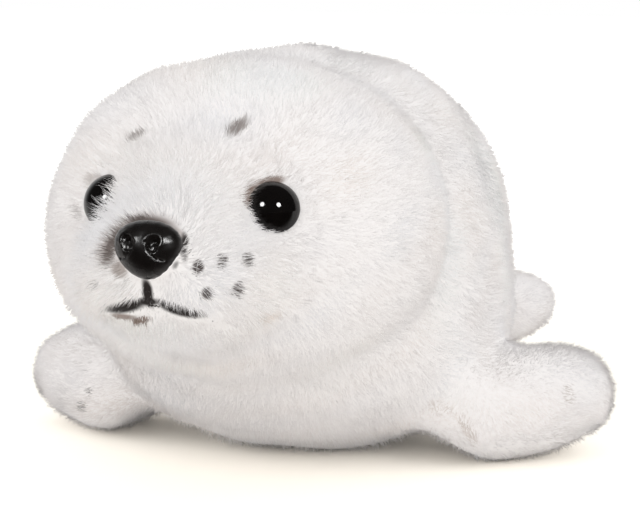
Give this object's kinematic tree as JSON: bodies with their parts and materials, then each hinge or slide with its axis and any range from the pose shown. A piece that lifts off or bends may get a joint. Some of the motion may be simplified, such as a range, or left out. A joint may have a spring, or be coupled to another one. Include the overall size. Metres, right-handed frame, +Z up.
{
  "type": "plush seal",
  "caption": "Stuffed white seal pup lying flat on its belly, with front and hind flippers, glossy black eyes and nose, and a stitched mouth.",
  "frame": {"origin": "on the flat of the belly where it rests, under the middle of the body's width", "axes": "-Y towards the nose, +Y towards the tail, +X to the seal's own left, +Z up"},
  "size_m": [0.2403, 0.3314, 0.155],
  "materials": {
    "fur": "white plush fur over polyester stuffing",
    "eye_plastic": "glossy black moulded plastic",
    "nose_plastic": "glossy black moulded plastic",
    "washer_plastic": "natural white plastic lock washer",
    "thread": "dark brown embroidery thread"
  },
  "bodies": {
    "root": {"head": "fur", "body": "fur", "front_flipper_left": "fur", "front_flipper_right": "fur", "hind_flipper_left": "fur", "hind_flipper_right": "fur", "eye_left": "eye_plastic", "eye_right": "eye_plastic", "nose": "nose_plastic", "eye_washer_left": "washer_plastic", "eye_washer_right": "washer_plastic", "nose_washer": "washer_plastic", "mouth_lip_thread": "thread", "mouth_nose_thread": "thread"}
  },
  "joints": []
}
